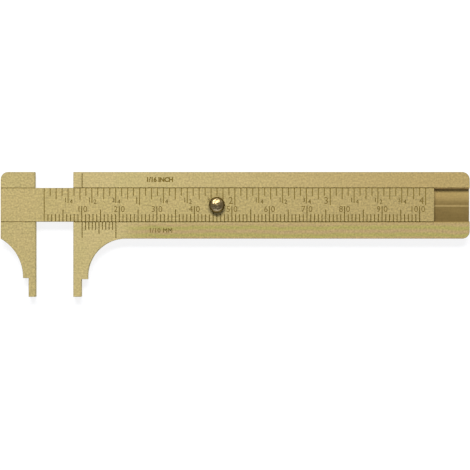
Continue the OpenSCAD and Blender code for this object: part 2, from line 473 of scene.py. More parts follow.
@dataclass
class FinishRack:
    """Every finish of the caliper, built once. Places across it start at the bar's centre line."""

    centre_line: float
    face: float
    button_top: float
    lower_rail: tuple[float, float] = (-9.0, -4.5)
    band_y: float = -5.1
    band_start_x: float = -34.0
    crown_y: float = -0.25
    patina_drop: float = 0.58
    body: Material = field(init=False)
    head: Material = field(init=False)
    bar: Material = field(init=False)
    dark_edge: Material = field(init=False)
    floor: Material = field(init=False)
    side: Material = field(init=False)
    button: Material = field(init=False)
    filed: Material = field(init=False)
    bronze: Material = field(init=False)
    fills: dict[Fill, Material] = field(init=False)

    def __post_init__(self) -> None:
        """Builds the materials."""
        middle = self.centre_line
        low, high = self.lower_rail
        brass, tarnish = (0.508, 0.427, 0.215), (0.481, 0.417, 0.195)
        # The body darkens towards its tail: painted shade
        self.body = RailFinish(
            "body_brass",
            brass,
            tarnish,
            grain=0.18,
            band_y=middle + self.band_y,
            rail=(middle + low, middle + high),
            face=self.face,
            start_x=self.band_start_x,
        ).material()
        self.head = BrassFinish(
            "head_brass", (0.482, 0.402, 0.193), (0.463, 0.397, 0.182)
        ).material()
        # The bar darkens towards its tail: painted shade
        self.bar = AgedFinish(
            "bar_brass", (0.484, 0.401, 0.189), (0.457, 0.386, 0.174), tail=(0.425, 0.342, 0.152)
        ).material()
        # Dark brass on the broken edges: painted shade that outlines them
        self.dark_edge = BrassFinish(
            "painted_edge_shade", (0.245, 0.178, 0.030), (0.215, 0.155, 0.024)
        ).material()
        # The floor's finish paints shade below the crown and a highlight along it
        self.floor = FloorFinish(
            "channel_floor_brass",
            (0.42, 0.318, 0.128),
            (0.40, 0.308, 0.122),
            grain=0.08,
            crown_y=middle + self.crown_y,
        ).material()
        # A brighter brass on the channel's sides: painted light that lifts the shade under the upper
        # lip
        self.side = BrassFinish(
            "shade_lifted_side_brass", (0.62, 0.46, 0.18), (0.55, 0.40, 0.15)
        ).material()
        # The button's dark foot is patina with painted shade and reflection
        self.button = ButtonFinish(
            "button_brass",
            (0.270, 0.200, 0.095),
            (0.243, 0.181, 0.084),
            roughness=0.36,
            grain=0.08,
            grain_size=1.0,
            grain_depth=60.0,
            patina_top=self.button_top - self.patina_drop,
        ).material()
        self.filed = BrassFinish("filed_brass", (0.44, 0.34, 0.14), tarnish).material()
        self.bronze = BrassFinish(
            "spring_bronze", (0.38, 0.23, 0.09), (0.30, 0.17, 0.06), roughness=0.3
        ).material()
        self.fills = {fill: EngravedFinish(*fill.value).material() for fill in Fill}


def arc(centre: Vector, radius: float, start: float, end: float) -> list[Vector]:
    """Draws an arc in the plan.

    Args:
        centre: Centre of the arc.
        radius: Radius of the arc.
        start: Angle of the first point, in degrees.
        end: Angle of the last point, in degrees.

    Returns:
        Points from the first to the last.
    """
    angles = [math.radians(start + (end - start) * i / ARC_STEPS) for i in range(ARC_STEPS + 1)]
    return [centre + radius * Vector((math.cos(a), math.sin(a))) for a in angles]


def link_object(name: str, data: ID) -> Object:
    """Puts an object in the scene.

    Args:
        name: Name of the object.
        data: Its mesh, text, lamp or camera.

    Returns:
        The object.
    """
    made = bpy.data.objects.new(name, data)
    bpy.context.scene.collection.objects.link(made)
    return made


def from_bmesh(name: str, shape: BMesh, *finishes: Material) -> Object:
    """Turns a built shape into an object.

    Args:
        name: Name of the object.
        shape: The shape, which is freed.
        *finishes: Materials for the object's slots.

    Returns:
        The object.
    """
    bmesh.ops.recalc_face_normals(shape, faces=shape.faces)
    mesh = bpy.data.meshes.new(name)
    shape.to_mesh(mesh)
    shape.free()
    for finish in finishes:
        mesh.materials.append(finish)
    return link_object(name, mesh)


def prism(name: str, outline: Sequence[Vector], sweep: Vector, *finishes: Material) -> Object:
    """Sweeps a flat outline into a closed solid.

    Args:
        name: Name of the object.
        outline: Points of the outline in order.
        sweep: Direction and length of the sweep.
        *finishes: Materials for the object's slots.

    Returns:
        The solid.
    """
    shape = bmesh.new()
    near = [shape.verts.new(point) for point in outline]
    far = [shape.verts.new(point + sweep) for point in outline]
    shape.faces.new(near)
    shape.faces.new(far)
    for i in range(len(outline)):
        shape.faces.new((near[i - 1], near[i], far[i], far[i - 1]))
    return from_bmesh(name, shape, *finishes)


def plate(name: str, plan: Sequence[Vector], low: float, high: float, *finishes: Material) -> Object:
    """Sweeps a plan upwards between two heights."""
    return prism(name, [Vector((p.x, p.y, low)) for p in plan], Vector((0, 0, high - low)), *finishes)


def extrusion(
    name: str, section: Sequence[Vector], start: float, end: float, *finishes: Material
) -> Object:
    """Sweeps a section, drawn across and up, along X between two stations."""
    outline = [Vector((start, p.x, p.y)) for p in section]
    return prism(name, outline, Vector((end - start, 0, 0)), *finishes)


def turned(name: str, profile: Sequence[Vector], x: float, y: float, *finishes: Material) -> Object:
    """Turns a profile about an upright axis.

    Args:
        name: Name of the object.
        profile: Points from pole to pole, as radius and height.
        x: Place of the axis.
        y: Place of the axis.
        *finishes: Materials for the object's slots.

    Returns:
        The turned solid.
    """
    shape = bmesh.new()
    verts = [shape.verts.new((p.x, 0, p.y)) for p in profile]
    edges = [shape.edges.new(pair) for pair in zip(verts, verts[1:])]
    bmesh.ops.spin(
        shape, geom=verts + edges, axis=(0, 0, 1), cent=(0, 0, 0), angle=2 * math.pi, steps=TURN_STEPS
    )
    bmesh.ops.remove_doubles(shape, verts=shape.verts, dist=NEAR)
    bmesh.ops.translate(shape, verts=shape.verts, vec=(x, y, 0))
    return from_bmesh(name, shape, *finishes)


def drill(x: float, y: float, diameter: float, low: float, high: float) -> Object:
    """Makes an upright cutter for a round hole.

    Args:
        x: Place of the hole.
        y: Place of the hole.
        diameter: Diameter of the hole.
        low: Height of the cutter's lower end.
        high: Height of its upper end.

    Returns:
        The cutter.
    """
    radius = diameter / 2
    profile = [Vector(p) for p in ((0, low), (radius, low), (radius, high), (0, high))]
    return turned("drill", profile, x, y)


def evaluated_mesh(made: Object) -> Mesh:
    """Makes a plain mesh of a text, or of a piece with its modifiers."""
    graph = bpy.context.evaluated_depsgraph_get()
    return bpy.data.meshes.new_from_object(made.evaluated_get(graph))


def settle(piece: Object) -> None:
    """Replaces a piece's mesh by what its modifiers make of it.

    Args:
        piece: The piece, which loses its modifiers.
    """
    old, new = piece.data, evaluated_mesh(piece)
    piece.modifiers.clear()
    piece.data = new
    bpy.data.meshes.remove(old)


def carve(piece: Object, cutter: Object, crossing: bool = False) -> None:
    """Cuts one closed shape out of a piece and removes the cutter.

    Args:
        piece: The piece that is cut. New faces take the cutter's material, where it has one.
        cutter: The shape that is cut away.
        crossing: Whether the cutter's own faces may cross.
    """
    cut = piece.modifiers.new("cut", "BOOLEAN")
    cut.operation = "DIFFERENCE"
    cut.solver = "EXACT"
    cut.material_mode = "TRANSFER"
    cut.use_self = crossing
    cut.object = cutter
    settle(piece)
    mesh = cutter.data
    bpy.data.objects.remove(cutter)
    bpy.data.meshes.remove(mesh)


def break_edges(
    piece: Object, width: float, slot: Skin, chosen: Callable[[BMEdge], bool] = lambda edge: True
) -> None:
    """Breaks a piece's outer edges.

    Args:
        piece: The piece.
        width: Width that the broken edge takes on each side.
        slot: Material slot for the new faces.
        chosen: Says which of the sharp outer edges are broken.
    """
    shape = bmesh.new()
    shape.from_mesh(piece.data)
    sharp = [e for e in shape.edges if e.is_manifold and e.calc_face_angle_signed() > BREAK_ANGLE]
    edges = [e for e in sharp if chosen(e)]
    bmesh.ops.bevel(shape, geom=edges, offset=width, segments=1, affect="EDGES", material=slot)
    shape.to_mesh(piece.data)
    shape.free()


def smooth_facets(piece: Object) -> None:
    """Shades round stretches smooth and keeps edges crisp."""
    piece.data.shade_smooth()
    piece.data.set_sharp_from_angle(angle=SMOOTH_ANGLE)


def on_mouth(corner: Vector, edge: float, face: float) -> bool:
    """Says whether a corner lies at a channel's edge and on the face."""
    return abs(abs(corner.y) - edge) < NEAR and corner.z > face - NEAR


@dataclass(frozen=True)
class Datum:
    """Where the caliper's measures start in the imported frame, and its main sizes."""

    fixed_face: float
    moving_face: float
    centre_line: float
    body_length: float
    bar_reach: float
    thickness: float
    bar_thickness: float
    top: float
    tip: float
    head_width: float
    button_x: float
    button_top: float
    scale_zero: float = 2.35

    @classmethod
    def from_frame(cls) -> "Datum":
        """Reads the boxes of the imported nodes.

        Returns:
            The datum, in millimetres.
        """
        body, bar, jaw, button = (
            [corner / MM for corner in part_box(node)]
            for node in ("body", "slide_bar", "moving_jaw", "thumb_button")
        )
        centre = (bar[0].y + bar[1].y) / 2
        return cls(
            fixed_face=body[0].x,
            moving_face=jaw[1].x,
            centre_line=centre,
            body_length=body[1].x - body[0].x,
            bar_reach=bar[1].x - jaw[1].x,
            thickness=body[1].z - body[0].z,
            bar_thickness=bar[1].z - bar[0].z,
            top=body[1].y - centre,
            tip=body[0].y - centre,
            head_width=jaw[1].x - jaw[0].x,
            button_x=(button[0].x + button[1].x) / 2 - jaw[1].x,
            button_top=button[1].z,
        )

    @property
    def underside(self) -> float:
        """Height of the bar's underside."""
        return self.thickness - self.bar_thickness

    def place(self, piece: Object, body: Body, node: str, slot: Slot) -> Object:
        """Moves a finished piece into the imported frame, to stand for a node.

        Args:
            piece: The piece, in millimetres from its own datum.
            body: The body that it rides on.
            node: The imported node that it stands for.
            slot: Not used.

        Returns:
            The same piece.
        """
        face = self.fixed_face if body is Body.FRAME else self.moving_face
        piece.data.transform(Matrix.Translation((face, self.centre_line, 0)))
        piece.data.transform(Matrix.Scale(MM, 4))
        smooth_facets(piece)
        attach(piece, body.value)
        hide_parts(node)
        return piece


@dataclass(frozen=True)
class SlideSection:
    """Section of the bar, with a V groove along each side, and of the plates that hold it."""

    face_w: float = 9.0
    lower_rail_w: float = 4.5
    groove: float = 0.3
    land: float = 0.2
    side_gap: float = 0.09
    seat_gap: float = 0.04
    floor_gap: float = 0.08
    floor_crown: float = 0.1
    mouth_break: float = 0.04
    stop_y: float = -2.4

    @property
    def edge(self) -> float:
        """Half of the bar's width."""
        return self.face_w / 2

    @property
    def mouth(self) -> float:
        """Half of the width of the body's channel."""
        return self.edge + self.side_gap

    @property
    def low(self) -> float:
        """Lower edge of the plates, under the lower rail."""
        return -self.edge - self.lower_rail_w

    def _sides(self, datum: Datum, gap: float) -> tuple[list[Vector], list[Vector]]:
        """Draws the two grooved sides.

        Args:
            datum: The caliper's main sizes.
            gap: Gap beside the bar.

        Returns:
            The upper rail's side from the face down, and the lower rail's side from below up.
        """
        edge = self.edge + gap
        face, under = datum.thickness, datum.underside
        middle = (face + under) / 2
        points = ((edge, face), (edge, face - self.land), (edge - self.groove, middle))
        points += ((edge, under + self.land), (edge, under))
        down = [Vector(point) for point in points]
        up = [Vector((-point.x, point.y)) for point in reversed(down)]
        return down, up

    def bar_section(self, datum: Datum) -> list[Vector]:
        """Draws the bar's section, across and up."""
        down, up = self._sides(datum, 0.0)
        return down + up

    def channel_section(
        self, datum: Datum, side_gap: float, floor_gap: float, crown: float
    ) -> list[Vector]:
        """Draws the section that is cut away for the bar.

        Args:
            datum: The caliper's main sizes.
            side_gap: Gap beside the bar.
            floor_gap: Gap under the bar, over the crown.
            crown: Height of the crown across the floor.

        Returns:
            Corners and points of the crown, across and up.
        """
        down, up = self._sides(datum, side_gap)
        edge = self.edge + side_gap
        floor = datum.underside - floor_gap
        above = datum.thickness + OVER
        shares = [1 - 2 * i / ARC_STEPS for i in range(ARC_STEPS + 1)]
        crowned = [Vector((edge * share, floor - crown * share**2)) for share in shares]
        return [Vector((-edge, above)), Vector((edge, above))] + down[:-1] + crowned + up[1:]

    def dress(self, piece: Object, datum: Datum, gap: float) -> None:
        """Gives the sides of a channel a brighter brass, painted light that lifts their shade, and
        breaks the edges along its mouth, whose broken faces take seam grime with painted shade.

        Args:
            piece: A plate with a channel along X.
            datum: The caliper's main sizes.
            gap: Gap beside the bar.
        """
        edge, face = self.edge + gap, datum.thickness
        low = datum.underside - 2 * self.groove
        for polygon in piece.data.polygons:
            across, height = abs(polygon.center.y), polygon.center.z
            beside = edge - self.groove - NEAR < across < edge + NEAR
            if beside and low < height < face and abs(polygon.normal.z) < UPRIGHT:
                polygon.material_index = Skin.SIDE
        break_edges(
            piece,
            self.mouth_break,
            Skin.GRIME,
            lambda e: all(on_mouth(v.co, edge, face) for v in e.verts),
        )


@dataclass(frozen=True)
class PinSeats:
    """Two holes for the pins that hold the head on the bar."""

    diameter: float = 1.62
    pitch: float = 4.4

    def cut(self, piece: Object, datum: Datum, low: float, high: float) -> None:
        """Drills both holes.

        Args:
            piece: The head or the bar.
            datum: The caliper's main sizes.
            low: Height of the cutters' lower ends.
            high: Height of their upper ends.
        """
        for side in (-1, 1):
            x = (side * self.pitch - datum.head_width) / 2
            carve(piece, drill(x, 0, self.diameter, low, high))


@dataclass(frozen=True)
class LineRow:
    """One row of engraved lines: a length for each period, and one for lines in none of them."""

    side: ScaleSide
    fill: Fill
    edge: float
    start: float
    lengths: tuple[float, ...]
    periods: tuple[int, int, int] = (10, 5, 1)
    step: float = 1.0
    count: int = 1
    first: int = 0


class LineCutter:
    """Lays out rows of engraved lines as cutters, with one geometry node tree."""

    width: float = 0.23
    depth: float = 0.08

    def __init__(self, face: float, fills: dict[Fill, Material]) -> None:
        """Builds the tree.

        Args:
            face: Height of the face that the lines are cut into.
            fills: Materials of the lines.
        """
        self.face = face
        self.fills = fills
        self.tree = bpy.data.node_groups.new("engraved_lines", "GeometryNodeTree")
        self.sockets: dict[str, str] = {}
        for name in ("Count", "First", "Period 1", "Period 2", "Period 3"):
            self._input(name, "NodeSocketInt")
        for name in ("Start", "Step", "Edge", "Face", "Width", "Depth", "Run-out", "Turn"):
            self._input(name, "NodeSocketFloat")
        for name in ("Length 1", "Length 2", "Length 3", "Length 4"):
            self._input(name, "NodeSocketFloat")
        self._input("Fill", "NodeSocketMaterial")
        self.tree.interface.new_socket("Geometry", in_out="OUTPUT", socket_type="NodeSocketGeometry")
        self._build()

    def _input(self, name: str, kind: str) -> None:
        """Adds a named input to the tree and keeps its identifier."""
        socket = self.tree.interface.new_socket(name, in_out="INPUT", socket_type=kind)
        self.sockets[name] = socket.identifier

    def _build(self) -> None:
        """Joins the tree's nodes: points along the edge, a length for each, and a block from each."""
        sheet = NodeSheet(self.tree)
        given = sheet.add("NodeGroupInput").outputs
        first_x = sheet.math("MULTIPLY_ADD", given["First"], given["Step"], given["Start"])
        origin = sheet.vector(X=first_x, Y=given["Edge"], Z=given["Face"])
        offset = sheet.vector(X=given["Step"])
        row = {"Count": given["Count"], "Start Location": origin, "Offset": offset}
        points = sheet.first("GeometryNodeMeshLine", row, mode="OFFSET")
        number = sheet.math("ADD", sheet.first("GeometryNodeInputIndex"), given["First"])
        length = given["Length 4"]
        for rank in (3, 2, 1):
            rest = sheet.math("MODULO", number, given[f"Period {rank}"])
            whole = sheet.first("FunctionNodeCompare", {0: rest, 1: 0.0}, operation="EQUAL")
            choice = {"Switch": whole, "False": length, "True": given[f"Length {rank}"]}
            length = sheet.first("GeometryNodeSwitch", choice, input_type="FLOAT")
        reach = sheet.math("ADD", length, given["Run-out"])
        tall = sheet.math("MULTIPLY", given["Depth"], 2.0)
        size = sheet.vector(X=given["Width"], Y=reach, Z=tall)
        turn = sheet.first("FunctionNodeEulerToRotation", {0: sheet.vector(Z=given["Turn"])})
        cube = {"Geometry": sheet.first("GeometryNodeMeshCube"), "Translation": (0.0, 0.5, 0.0)}
        block = sheet.first("GeometryNodeTransform", cube)
        copies = {"Points": points, "Instance": block, "Rotation": turn, "Scale": size}
        lines = sheet.first("GeometryNodeInstanceOnPoints", copies)
        solid = {"Geometry": sheet.first("GeometryNodeRealizeInstances", {0: lines})}
        filled = sheet.first("GeometryNodeSetMaterial", solid | {"Material": given["Fill"]})
        sheet.add("NodeGroupOutput", {0: filled})

    def cutter(self, row: LineRow) -> Object:
        """Makes the cutter for one row of lines.

        Args:
            row: The row's sizes.

        Returns:
            A plain mesh object with one block for each line.
        """
        outwards = -1.0 if row.side is ScaleSide.UPWARDS else 1.0
        values = {
            "Count": row.count,
            "First": row.first,
            "Start": row.start,
            "Step": row.step,
            "Edge": row.edge + outwards * OVER,
            "Face": self.face,
            "Width": self.width,
            "Depth": self.depth,
            "Run-out": OVER,
            "Turn": row.side.value,
            "Fill": self.fills[row.fill],
        }
        values |= {f"Period {i}": period for i, period in enumerate(row.periods, 1)}
        values |= {f"Length {i}": length for i, length in enumerate(row.lengths, 1)}
        made = link_object("line_cutter", bpy.data.meshes.new("line_cutter"))
        layout = made.modifiers.new("lines", "NODES")
        layout.node_group = self.tree
        for name, value in values.items():
            layout[self.sockets[name]] = value
        settle(made)
        return made


@dataclass(frozen=True)
class Mark:
    """A numeral or a short word on a face."""

    text: str
    x: float
    y: float
    height: float
    spacing: float = 1.0
    weight: float = 0.0


@dataclass(frozen=True)
class DigitRow:
    """Digits of one size that stand beside their lines."""

    y: float
    height: float
    gap: float
    slim_gap: float
    pitch: float = 1.3

    def mark(self, digit: str, line: float, side: int, place: int = 0) -> Mark:
        """Sets one digit beside its line, with the slim 1 closer than the others.

        Args:
            digit: The digit.
            line: Place of the line.
            side: 1 for a digit after the line, and -1 for one before it.
            place: How many digits stand between it and the line.

        Returns:
            The digit as a mark.
        """
        gap = self.slim_gap if digit == "1" else self.gap
        return Mark(digit, line + side * (gap + self.pitch * place), self.y, self.height)


class MarkCutter:
    """Makes stamped numerals and words as cutters."""

    depth: float = 0.06
    curve_steps: int = 4

    def __init__(self, face: float, fill: Material) -> None:
        """Works on one face.

        Args:
            face: Height of the face that the marks are cut into.
            fill: Material of the marks.
        """
        self.face = face
        self.fill = fill

    def _letters(self, mark: Mark) -> Mesh:
        """Sets one mark in type.

        Args:
            mark: The mark.

        Returns:
            A mesh of its letters, at its height, centred on its place.
        """
        curve = bpy.data.curves.new("mark", "FONT")
        curve.body = mark.text
        curve.extrude = self.depth
        curve.space_character = mark.spacing
        curve.offset = mark.weight
        curve.resolution_u = self.curve_steps
        holder = link_object("mark", curve)
        mesh = evaluated_mesh(holder)
        bpy.data.objects.remove(holder)
        bpy.data.curves.remove(curve)
        xs = [v.co.x for v in mesh.vertices]
        ys = [v.co.y for v in mesh.vertices]
        middle = Vector(((min(xs) + max(xs)) / 2, (min(ys) + max(ys)) / 2, 0))
        scale = mark.height / (max(ys) - min(ys))
        mesh.transform(Matrix.Translation(-middle))
        mesh.transform(Matrix.Diagonal((scale, scale, 1, 1)))
        mesh.transform(Matrix.Translation((mark.x, mark.y, self.face)))
        return mesh

    def cutter(self, marks: Sequence[Mark]) -> Object:
        """Makes the cutter for several marks.

        Args:
            marks: The marks.

        Returns:
            One object with all the letters.
        """
        shape = bmesh.new()
        for mark in marks:
            letters = self._letters(mark)
            shape.from_mesh(letters)
            bpy.data.meshes.remove(letters)
        bmesh.ops.remove_doubles(shape, verts=shape.verts, dist=NEAR)
        for face in shape.faces:
            face.material_index = 0
        return from_bmesh("mark_cutter", shape, self.fill)


@dataclass
class BodyPlate:
    """Channelled plate with the fixed jaw, the vernier and the index line."""

    datum: Datum
    section: SlideSection
    rack: FinishRack
    tail_r: float = 2.0
    neck_w: float = 3.8
    hollow_r: float = 10.1
    tip_w: float = 2.1
    tip_len: float = 4.7
    edge_break: float = 0.05
    vernier_step: float = 0.9
    vernier_lines: int = 11
    vernier_lengths: tuple[float, float, float] = (4.2, 3.2, 2.05)
    index_len: float = 3.75
    unit_marks: tuple[tuple[Fill, Mark], ...] = (
        (Fill.WORD, Mark("1/16 INCH", x=23.1, y=6.75, height=1.35, spacing=0.95, weight=0.042)),
        (Fill.FAINT, Mark("1/10 MM", x=23.4, y=-6.8, height=1.25, spacing=1.06, weight=0.022)),
    )
    pocket: tuple[float, float, float, float] = (12.0, 0.7, 36.4, 4.1)
    pocket_depth: float = 0.6
    rivet_x: float = 14.2
    rivet_y: float = 2.4
    rivet_d: float = 1.02
    rivet_head_d: float = 1.82
    rivet_sink: float = 0.4
    stop_x: float = 2.4
    stop_d: float = 1.22

    def plan(self) -> list[Vector]:
        """Draws the plate's outline.

        Returns:
            Points in order, from the jaw's tip round to the upper left corner.
        """
        tip, top, low = self.datum.tip, self.datum.top, self.section.low
        length, r = self.datum.body_length, self.tail_r
        step = tip + self.tip_len
        hollow = Vector((self.neck_w + self.hollow_r, low - self.hollow_r))
        corners = ((0, tip), (self.tip_w, tip), (self.tip_w, step), (self.neck_w, step))
        plan = [Vector(corner) for corner in corners]
        plan += arc(hollow, self.hollow_r, 180, 90)
        plan += arc(Vector((length - r, low + r)), r, -90, 0)
        plan += arc(Vector((length - r, top - r)), r, 0, 90)
        plan.append(Vector((0, top)))
        return plan

    def build(self) -> Object:
        """Builds the plate and sets it in place.

        Returns:
            The finished piece.
        """
        datum, section, rack = self.datum, self.section, self.rack
        finishes = rack.body, rack.dark_edge, rack.side, rack.fills[Fill.GRIME], rack.floor
        piece = plate("body_plate", self.plan(), 0, datum.thickness, *finishes)
        gaps = section.side_gap, section.floor_gap, section.floor_crown
        channel = section.channel_section(datum, *gaps)
        carve(piece, extrusion("channel", channel, -OVER, datum.body_length + OVER))
        section.dress(piece, datum, section.side_gap)
        break_edges(piece, self.edge_break, Skin.EDGE)
        self._dress_floor(piece)
        self._cut_seats(piece)
        self._engrave(piece)
        return datum.place(piece, Body.FRAME, "body", Slot.BODY)

    def _dress_floor(self, piece: Object) -> None:
        """Gives the channel's floor and its lower side their own finish, with its painted shade and
        highlight.

        Args:
            piece: The plate.
        """
        for face in piece.data.polygons:
            inside = self.datum.underside > face.center.z > self.datum.underside - 2 * OVER
            lower_side = face.material_index == Skin.SIDE and face.center.y < 0
            if lower_side or inside and face.normal.z > math.cos(SMOOTH_ANGLE):
                face.material_index = Skin.FLOOR

    def _cut_seats(self, piece: Object) -> None:
        """Cuts the spring's pocket and the holes for the rivet and the stop pin.

        Args:
            piece: The plate.
        """
        floor = self.datum.underside - self.section.floor_gap
        x1, y1, x2, y2 = self.pocket
        pocket = [Vector(p) for p in ((x1, y1), (x2, y1), (x2, y2), (x1, y2))]
        carve(piece, plate("pocket", pocket, floor - self.pocket_depth, floor + OVER))
        wide, slim, sink = self.rivet_head_d / 2, self.rivet_d / 2, self.rivet_sink
        profile = ((0, -OVER), (wide, -OVER), (wide, 0), (slim, sink), (slim, floor), (0, floor))
        carve(piece, turned("rivet_hole", [Vector(p) for p in profile], self.rivet_x, self.rivet_y))
        stop = self.stop_x, self.section.stop_y, self.stop_d
        carve(piece, drill(*stop, -OVER, self.datum.thickness))

    def _engrave(self, piece: Object) -> None:
        """Cuts the index line, the vernier and the two unit marks.

        Args:
            piece: The plate.
        """
        face, fills, mouth = self.datum.thickness, self.rack.fills, self.section.mouth
        zero = self.datum.scale_zero
        vernier = LineRow(
            ScaleSide.DOWNWARDS,
            Fill.PLAIN,
            edge=-mouth,
            start=zero,
            lengths=self.vernier_lengths,
            step=self.vernier_step,
            count=self.vernier_lines,
        )
        index = LineRow(ScaleSide.UPWARDS, Fill.DEEP, edge=mouth, start=zero, lengths=(self.index_len,))
        lines = LineCutter(face, fills)
        for row in (vernier, index):
            carve(piece, lines.cutter(row))
        for fill, mark in self.unit_marks:
            carve(piece, MarkCutter(face, fills[fill]).cutter([mark]), crossing=True)


@dataclass
class MovingHead:
    """Head with the moving jaw, seated under the bar's end."""

    datum: Datum
    section: SlideSection
    rack: FinishRack
    corner_r: float = 2.0
    relief: float = 0.2
    neck_w: float = 3.3
    hollow_r: float = 11.8
    tip_w: float = 1.8
    tip_len: float = 5.0
    edge_break: float = 0.05
    pins: PinSeats = PinSeats()

    def plan(self) -> list[Vector]:
        """Draws the head's outline.

        Returns:
            Points in order, from the jaw's tip up its face and round the head.
        """
        tip, top, wide = self.datum.tip, self.datum.top, self.datum.head_width
        edge, low, r = self.section.edge, self.section.low, self.corner_r
        step = tip + self.tip_len
        chord = self.hollow_r + self.neck_w - wide
        rise = math.sqrt(self.hollow_r**2 - chord**2)
        hollow = Vector((-self.neck_w - self.hollow_r, low - rise))
        corners = ((0, tip), (0, -edge), (-self.relief, -edge), (-self.relief, top))
        plan = [Vector(corner) for corner in corners]
        plan += arc(Vector((r - wide, top - r)), r, 90, 180)
        plan += arc(hollow, self.hollow_r, math.degrees(math.atan2(rise, chord)), 0)
        corners = ((-self.neck_w, step), (-self.tip_w, step), (-self.tip_w, tip))
        return plan + [Vector(corner) for corner in corners]

    def build(self) -> Object:
        """Builds the head and sets it in place.

        Returns:
            The finished piece.
        """
        datum, rack = self.datum, self.rack
        finishes = rack.head, rack.dark_edge, rack.side, rack.fills[Fill.GRIME]
        piece = plate("jaw_head", self.plan(), 0, datum.thickness, *finishes)
        seat = self.section.channel_section(datum, self.section.seat_gap, 0.0, 0.0)
        carve(piece, extrusion("seat", seat, -datum.head_width - OVER, OVER))
        self.section.dress(piece, datum, self.section.seat_gap)
        break_edges(piece, self.edge_break, Skin.EDGE)
        self.pins.cut(piece, datum, -OVER, datum.thickness)
        return datum.place(piece, Body.SLIDE, "moving_jaw", Slot.BODY)


@dataclass
class ScaleBar:
    """Grooved bar with the inch scale above and the millimetre scale below."""

    datum: Datum
    section: SlideSection
    rack: FinishRack
    edge_break: float = 0.09
    tail_break: float = 0.06
    metric_span: int = 100
    numeral_step: int = 10
    inch_span: int = 4
    inch_parts: int = 16
    metric_lengths: tuple[float, float, float] = (4.15, 3.25, 2.0)
    inch_lengths: tuple[float, float, float, float] = (4.6, 4.05, 3.05, 2.1)
    metric_digits: DigitRow = DigitRow(y=-1.12, height=1.58, gap=0.94, slim_gap=0.74)
    over_digits: DigitRow = DigitRow(y=1.32, height=1.2, gap=0.67, slim_gap=0.67)
    under_digits: DigitRow = DigitRow(y=0.87, height=1.15, gap=0.84, slim_gap=0.84)
    inch_digits: DigitRow = DigitRow(y=1.17, height=1.84, gap=1.1, slim_gap=0.75)
    pins: PinSeats = PinSeats()
    pin_depth: float = 0.9
    stem_d: float = 1.62
    stem_tail_d: float = 2.42
    stem_tail_h: float = 0.4
    slot_w: float = 1.4
    slot_depth: float = 0.5
    slot_start: float = 2.2
    slot_end: float = 104.35

    def build(self) -> Object:
        """Builds the bar and sets it in place.

        Returns:
            The finished piece.
        """
        datum, rack = self.datum, self.rack
        outline = self.section.bar_section(datum)
        piece = extrusion(
            "scale_bar", outline, -datum.head_width, datum.bar_reach, rack.bar, rack.dark_edge
        )
        tail = datum.bar_reach - NEAR
        break_edges(piece, self.tail_break, Skin.FACE, lambda e: all(v.co.x > tail for v in e.verts))
        inner = tail - self.tail_break
        break_edges(piece, self.edge_break, Skin.EDGE, lambda e: any(v.co.x < inner for v in e.verts))
        self._cut_seats(piece)
        self._engrave(piece)
        return datum.place(piece, Body.SLIDE, "slide_bar", Slot.BAR)

    def _cut_seats(self, piece: Object) -> None:
        """Cuts the holes for the jaw pins and the button, and the stop pin's slot.

        Args:
            piece: The bar.
        """
        under, top = self.datum.underside, self.datum.thickness + OVER
        low, neck = under - OVER, under + self.stem_tail_h
        self.pins.cut(piece, self.datum, low, under + self.pin_depth)
        wide, slim = self.stem_tail_d / 2, self.stem_d / 2
        profile = ((0, low), (wide, low), (wide, under), (slim, neck), (slim, top), (0, top))
        carve(piece, turned("stem_hole", [Vector(p) for p in profile], self.datum.button_x, 0))
        r, y = self.slot_w / 2, self.section.stop_y
        plan = arc(Vector((self.slot_end, y)), r, -90, 90)
        plan += arc(Vector((self.slot_start, y)), r, 90, 270)
        carve(piece, plate("slot", plan, low, under + self.slot_depth))

    def _engrave(self, piece: Object) -> None:
        """Cuts both scales and their numerals.

        Args:
            piece: The bar.
        """
        face, fills, edge = self.datum.thickness, self.rack.fills, self.section.edge
        zero = self.datum.scale_zero
        metric = LineRow(
            ScaleSide.UPWARDS,
            Fill.PLAIN,
            edge=-edge,
            start=zero,
            lengths=self.metric_lengths,
            count=self.metric_span,
            first=1,
        )
        inches = LineRow(
            ScaleSide.DOWNWARDS,
            Fill.LIGHT,
            edge=edge,
            start=zero,
            lengths=self.inch_lengths,
            periods=(self.inch_parts, self.inch_parts // 4, self.inch_parts // 8),
            step=INCH / self.inch_parts,
            count=self.inch_span * self.inch_parts,
            first=1,
        )
        full = (2 * edge + OVER,)
        across = LineRow(ScaleSide.UPWARDS, Fill.LIGHT, edge=-edge, start=zero, lengths=full)
        lines = LineCutter(face, fills)
        for row in (metric, inches, across):
            carve(piece, lines.cutter(row))
        numerals = (
            (Fill.FAINT, self._metric_marks()),
            (Fill.PLAIN, self._fraction_marks()),
            (Fill.FAINT, self._inch_marks()),
        )
        for fill, marks in numerals:
            carve(piece, MarkCutter(face, fills[fill]).cutter(marks))

    def _metric_marks(self) -> list[Mark]:
        """Sets the centimetre numerals, with the last digit after the line.

        Returns:
            The digits of all the numerals.
        """
        marks = []
        for value in range(self.numeral_step, self.metric_span + 1, self.numeral_step):
            line = self.datum.scale_zero + value
            *lead, last = str(value)
            marks.append(self.metric_digits.mark(last, line, 1))
            for place, digit in enumerate(reversed(lead)):
                marks.append(self.metric_digits.mark(digit, line, -1, place))
        return marks

    def _fraction_marks(self) -> list[Mark]:
        """Sets the fractions of an inch, one digit on each side of their line.

        Returns:
            The digits of the fractions.
        """
        marks = []
        for inch in range(self.inch_span):
            for quarter, (over, under) in enumerate(FRACTIONS, 1):
                line = self.datum.scale_zero + (inch + quarter / 4) * INCH
                marks.append(self.over_digits.mark(over, line, -1))
                marks.append(self.under_digits.mark(under, line, 1))
        return marks

    def _inch_marks(self) -> list[Mark]:
        """Sets the whole inches, each before its line."""
        zero, inches = self.datum.scale_zero, range(1, self.inch_span + 1)
        return [self.inch_digits.mark(str(n), zero + n * INCH, -1) for n in inches]


